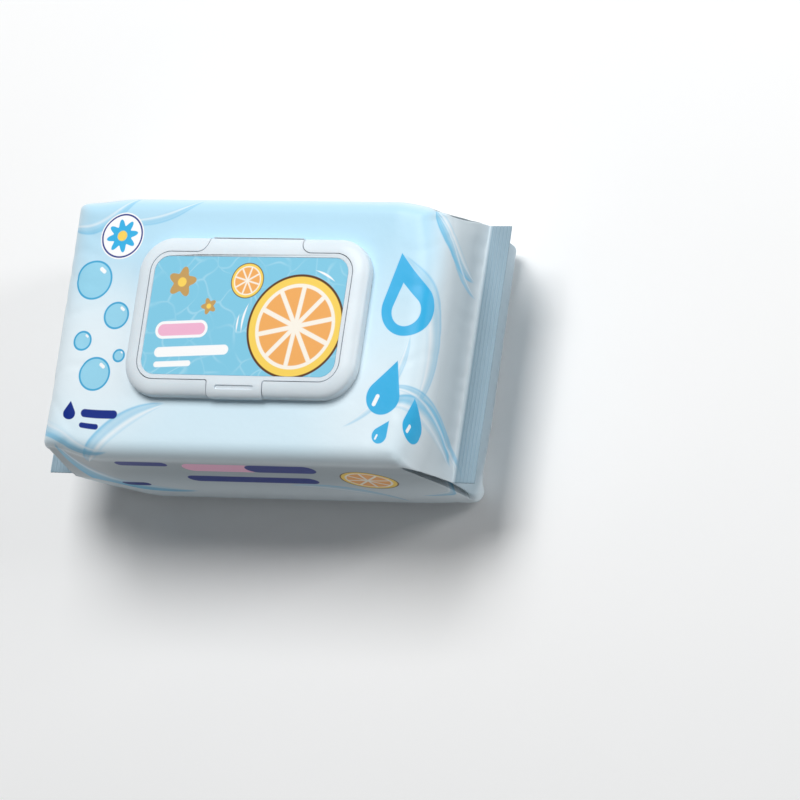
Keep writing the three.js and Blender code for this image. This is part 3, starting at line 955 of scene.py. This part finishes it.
def refined(node):
    """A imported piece's mesh with its corners merged and the triangles of its flats joined."""
    same_place = 0.002 * MM
    flat = math.radians(0.4)
    bm = bmesh.new()
    bm.from_mesh(frame["nodes"][node].data)
    bmesh.ops.remove_doubles(bm, verts=bm.verts, dist=same_place)
    bmesh.ops.dissolve_limit(bm, angle_limit=flat, verts=bm.verts, edges=bm.edges, delimit=set())
    return bm


def add_piece(name, bm, material, body, slot, *replaced, sharp=35):
    """Make a piece of a bmesh, shaded smooth up to the sharp angle, and hang it on its body, if any."""
    for face in bm.faces:
        face.smooth = True
    limit = math.radians(sharp)
    for edge in bm.edges:
        edge.smooth = len(edge.link_faces) == 2 and edge.calc_face_angle(0) < limit
    mesh = bpy.data.meshes.new(name)
    bm.to_mesh(mesh)
    bm.free()
    mesh.materials.append(material)
    piece = bpy.data.objects.new(name, mesh)
    bpy.context.scene.collection.objects.link(piece)
    if body:
        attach(piece, body)
    if replaced:
        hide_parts(*replaced)
    return piece


def build_hinge(sizes):
    """A thin upright strip along the lid's back edge, on the line where the flap turns."""
    bm = bmesh.new()
    bmesh.ops.create_grid(bm, x_segments=1, y_segments=12, size=0.5)
    scale = Vector((sizes.hinge_length, 2 * sizes.hinge_reach, 1))
    bmesh.ops.scale(bm, vec=scale, verts=bm.verts)
    bmesh.ops.solidify(bm, geom=bm.faces, thickness=sizes.hinge_thickness)
    bmesh.ops.recalc_face_normals(bm, faces=bm.faces)
    bmesh.ops.rotate(bm, matrix=Matrix.Rotation(math.pi / 2, 3, "X"), verts=bm.verts)
    middle = HINGE + Vector((0, sizes.hinge_thickness / 2, 0))
    bmesh.ops.translate(bm, vec=middle, verts=bm.verts)
    return bm


def finish_lid(sizes):
    """Milky moulded plastic, a little see-through."""
    finish = Finish(
        "lid_plastic",
        Roughness=0.3,
        IOR=1.49,
        Specular_IOR_Level=0.3,
        Alpha=0.92,
        Subsurface_Weight=0.3,
        Subsurface_Radius=(0.9, 1.0, 1.05),
        Subsurface_Scale=0.0012,
    )
    body = finish.object_place()
    cloud = finish.noise(body, scale=0.05)
    cloudy = [channel * 0.96 for channel in sizes.plastic]
    finish.feed("Base Color", finish.paint(cloudy, sizes.plastic, cloud.rising(0.35, 0.65)))
    finish.bump(finish.noise(body, scale=1.6), strength=0.08, distance=0.2 * MM)
    return finish.material


LARGE_SLICE = (24, -4)  # its centre, from the label's


def finish_label(inks):
    """Printed label: light net on sky blue, fruit slices, flowers and bars."""
    finish = Finish("label_print", Roughness=0.3, IOR=1.5, Specular_IOR_Level=0.25)
    centre = (LABEL_LOW + LABEL_HIGH) / 2 / MM
    place = turned(finish.parts(finish.object_place()), (centre.x, centre.y))
    flat = finish.join(*place)
    ground = label_net(finish, flat, inks)
    ground = citrus(finish, place, ground, LARGE_SLICE, 22, 10, inks, 12)
    ground = citrus(finish, place, ground, (-1, 15), 7.5, 8, inks, 30)
    ground = label_flowers(finish, place, ground, inks)
    ground = label_bars(finish, place, ground, inks)
    finish.feed("Base Color", ground)
    finish.bump(finish.noise(flat, scale=0.6), strength=0.06, distance=0.3 * MM)
    return finish.material


def label_net(finish, place, inks):
    """Light caught in shallow water: a net of pale lines on sky blue."""
    cells = 0.1  # to a millimetre
    bend = 10.0
    line_width = 0.085
    drift = finish.node("ShaderNodeTexNoise", {}, place, Scale=cells, Detail=0.0, output=1)
    bent = finish.node("ShaderNodeVectorMath", {"operation": "SCALE"}, drift, None, None, bend)
    bent = finish.node("ShaderNodeVectorMath", {"operation": "ADD"}, place, bent)
    settings = {"feature": "DISTANCE_TO_EDGE", "voronoi_dimensions": "2D"}
    edge = finish.node("ShaderNodeTexVoronoi", settings, bent, Scale=cells)
    strength = finish.noise(place, scale=cells, detail=0.0).rising(0.2, 0.7)
    lines = edge.rising(line_width, 0.0) * strength
    return finish.paint(inks.label_ground, inks.label_net, lines * 0.75)


def label_flowers(finish, place, ground, inks):
    """A large and a small tan flower with yellow middles."""
    petals = 5
    for centre, radius, turn in (((-31, 14), 6.6, 10), ((-17, 4), 3.6, 40)):
        ground = finish.paint(ground, inks.tan, flower(place, centre, radius, petals, turn).inside())
        ground = finish.paint(ground, inks.rind, disc(place, centre, 0.3 * radius).inside())
    return ground


def label_bars(finish, place, ground, inks):
    """A pink bar outlined in white over two plain white bars, and arcs beside the large slice."""
    slant = 3
    bars = (
        # centre, length, width, ink
        ((-28, -6), 24, 7.4, inks.white),
        ((-28, -6), 21.6, 5, inks.pink),
        ((-22, -15), 34, 4.2, inks.white),
        ((-30, -20.6), 17, 2.4, inks.white),
    )
    for centre, length, width, tint in bars:
        ground = finish.paint(ground, tint, pill(place, centre, length, width, slant).inside())
    arcs = (
        # radius, width, middle and half of its span in degrees
        (24.6, 0.9, 172, 14),
        (26.8, 0.7, 178, 8),
        (24.4, 0.9, 64, 12),
    )
    for radius, width, middle, half_span in arcs:
        arc = ribbon(place, LARGE_SLICE, radius, width, middle, half_span)
        ground = finish.paint(ground, inks.white, arc.inside())
    return ground


def finish_seal(inks):
    """Matt white film with a printed outline, a blue pull tab and shallow creases."""
    tab_length = 6.0
    margin = 2
    finish = Finish("seal_film", Roughness=0.5, IOR=1.5, Specular_IOR_Level=0.25)
    body = finish.object_place()
    place = finish.parts(body)
    tab_start = SEAL_HIGH.x / MM - tab_length
    length = tab_start - SEAL_LOW.x / MM
    width = (SEAL_HIGH.y - SEAL_LOW.y) / MM
    centre = (tab_start - length / 2, SEAL_HIGH.y / MM - width / 2)
    ring = abs(pill(place, centre, length - 2 * margin, width - 2 * margin)) - 0.25
    ground = finish.paint(inks.seal, inks.bubble, ring.inside(0.25) * 0.8)
    ground = finish.paint(ground, inks.drop, place[0].rising(tab_start - 0.2, tab_start + 0.4) * 0.8)
    finish.feed("Base Color", ground)
    finish.bump(finish.noise(body, scale=0.22), strength=0.5, distance=0.6 * MM)
    return finish.material


# Operators


class WIPES_OT_film_pack(bpy.types.Operator):
    """Add the film hinge's thin web along the line between the lid's two parts"""

    bl_idname = "wipes.film_pack"
    bl_label = "Film pack"

    def execute(self, context):
        scene = context.scene
        material = finish_film(scene.wipes_print, scene.wipes_film)
        film = build_film(scene.wipes_film)
        add_piece("film_pack", film, material, "pack", "printed_film", "sealed_pack", sharp=75)
        return {"FINISHED"}


class WIPES_OT_lid(bpy.types.Operator):
    """Mould the lid's frame and flap"""

    bl_idname = "wipes.lid"
    bl_label = "Flip-top lid"

    def execute(self, context):
        material = finish_lid(context.scene.wipes_lid)
        add_piece("lid_frame", refined("lid_base"), material, "pack", "lid_plastic", "lid_base")
        add_piece("lid_top", refined("lid_flap"), material, "flap", "lid_plastic", "lid_flap")
        return {"FINISHED"}


class WIPES_OT_film_hinge(bpy.types.Operator):
    """Join the lid's two parts with the thin web that bends"""

    bl_idname = "wipes.film_hinge"
    bl_label = "Film hinge"

    def execute(self, context):
        sizes = context.scene.wipes_lid
        material = bpy.data.materials["lid_plastic"]
        strip = add_piece("film_hinge", build_hinge(sizes), material, None, "lid_plastic")
        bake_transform(strip)
        return {"FINISHED"}


class WIPES_OT_label(bpy.types.Operator):
    """Print the label and set it in the flap"""

    bl_idname = "wipes.label"
    bl_label = "Label"

    def execute(self, context):
        material = finish_label(context.scene.wipes_print)
        add_piece("label", refined("lid_label"), material, "flap", "label_print", "lid_label")
        return {"FINISHED"}


class WIPES_OT_seal(bpy.types.Operator):
    """Stick the peel-off seal over the film's slit"""

    bl_idname = "wipes.seal"
    bl_label = "Peel-off seal"

    def execute(self, context):
        material = finish_seal(context.scene.wipes_print)
        add_piece("seal", refined("seal_sticker"), material, "pack", "seal_film", "seal_sticker")
        return {"FINISHED"}


class WIPES_OT_studio(bpy.types.Operator):
    """Set up the pale floor, soft lights and the camera"""

    bl_idname = "wipes.studio"
    bl_label = "Studio"

    def execute(self, context):
        settings = context.scene.wipes_studio
        add_floor()
        add_softbox("key_light", (-0.14, 0.76, 1.42), width=0.9, length=0.9, power=settings.key_power)
        add_softbox("fill_light", (1.25, 0.4, 0.55), width=0.3, length=1.1, power=settings.fill_power)
        add_room(context.scene, settings.ambient)
        add_camera(context.scene, settings)
        return {"FINISHED"}


def add_floor():
    """A plain pale floor under the pack."""
    bm = bmesh.new()
    bmesh.ops.create_grid(bm, x_segments=1, y_segments=1, size=4)
    mesh = bpy.data.meshes.new("floor")
    bm.to_mesh(mesh)
    bm.free()
    finish = Finish("floor_paint", Roughness=0.9)
    body = finish.object_place()
    cloud = finish.noise(body, scale=0.01)
    finish.feed("Base Color", finish.paint(ink(0xFAFBFB), ink(0xFDFDFD), cloud))
    mesh.materials.append(finish.material)
    floor = bpy.data.objects.new("floor", mesh)
    bpy.context.scene.collection.objects.link(floor)


def add_softbox(name, place, width, length, power):
    """An area light that faces the pack."""
    light = bpy.data.lights.new(name, "AREA")
    light.shape = "RECTANGLE"
    light.size = width
    light.size_y = length
    light.energy = power
    lamp = bpy.data.objects.new(name, light)
    lamp.location = place
    lamp.rotation_euler = Vector(place).to_track_quat("Z", "Y").to_euler()
    bpy.context.scene.collection.objects.link(lamp)


def add_room(scene, brightness):
    """Even light from all round, and plain colours."""
    world = bpy.data.worlds.new("room")
    world.use_nodes = True
    background = world.node_tree.nodes["Background"]
    background.inputs["Color"].default_value = (0.97, 0.985, 1.0, 1.0)
    background.inputs["Strength"].default_value = brightness
    scene.world = world
    scene.view_settings.view_transform = "Standard"


def add_camera(scene, settings):
    """A long lens that looks down on the pack from its +X front corner."""
    data = bpy.data.cameras.new("camera")
    data.sensor_width = 36
    data.lens = settings.lens
    data.clip_end = 20
    camera = bpy.data.objects.new("camera", data)
    camera.location = settings.camera_place
    camera.rotation_euler = Euler([math.radians(a) for a in settings.camera_turn])
    scene.collection.objects.link(camera)
    scene.camera = camera


class WIPES_PT_panel(bpy.types.Panel):
    """Sidebar panel with every step of the pack"""

    bl_label = "Wipes pack"
    bl_idname = "WIPES_PT_panel"
    bl_space_type = "VIEW_3D"
    bl_region_type = "UI"
    bl_category = "Wipes pack"

    def draw(self, context):
        for step in STEPS:
            self.layout.operator(step.bl_idname)
        for group in GROUPS:
            settings = getattr(context.scene, group)
            for field in settings.bl_rna.properties:
                if not field.is_readonly:
                    self.layout.prop(settings, field.identifier)


STEPS = (
    WIPES_OT_film_pack,
    WIPES_OT_lid,
    WIPES_OT_film_hinge,
    WIPES_OT_label,
    WIPES_OT_seal,
    WIPES_OT_studio,
)
GROUPS = {
    "wipes_film": FilmSizes,
    "wipes_print": PrintColours,
    "wipes_lid": LidSizes,
    "wipes_studio": StudioSettings,
}


def register():
    for kind in (*GROUPS.values(), *STEPS, WIPES_PT_panel):
        bpy.utils.register_class(kind)
    for name, kind in GROUPS.items():
        setattr(bpy.types.Scene, name, PointerProperty(type=kind))


def unregister():
    for name in GROUPS:
        delattr(bpy.types.Scene, name)
    for kind in reversed((*GROUPS.values(), *STEPS, WIPES_PT_panel)):
        bpy.utils.unregister_class(kind)


def main():
    register()
    bpy.ops.wipes.film_pack()
    bpy.ops.wipes.lid()
    bpy.ops.wipes.film_hinge()
    bpy.ops.wipes.label()
    bpy.ops.wipes.seal()
    bpy.ops.wipes.studio()


if __name__ == "__main__":
    main()
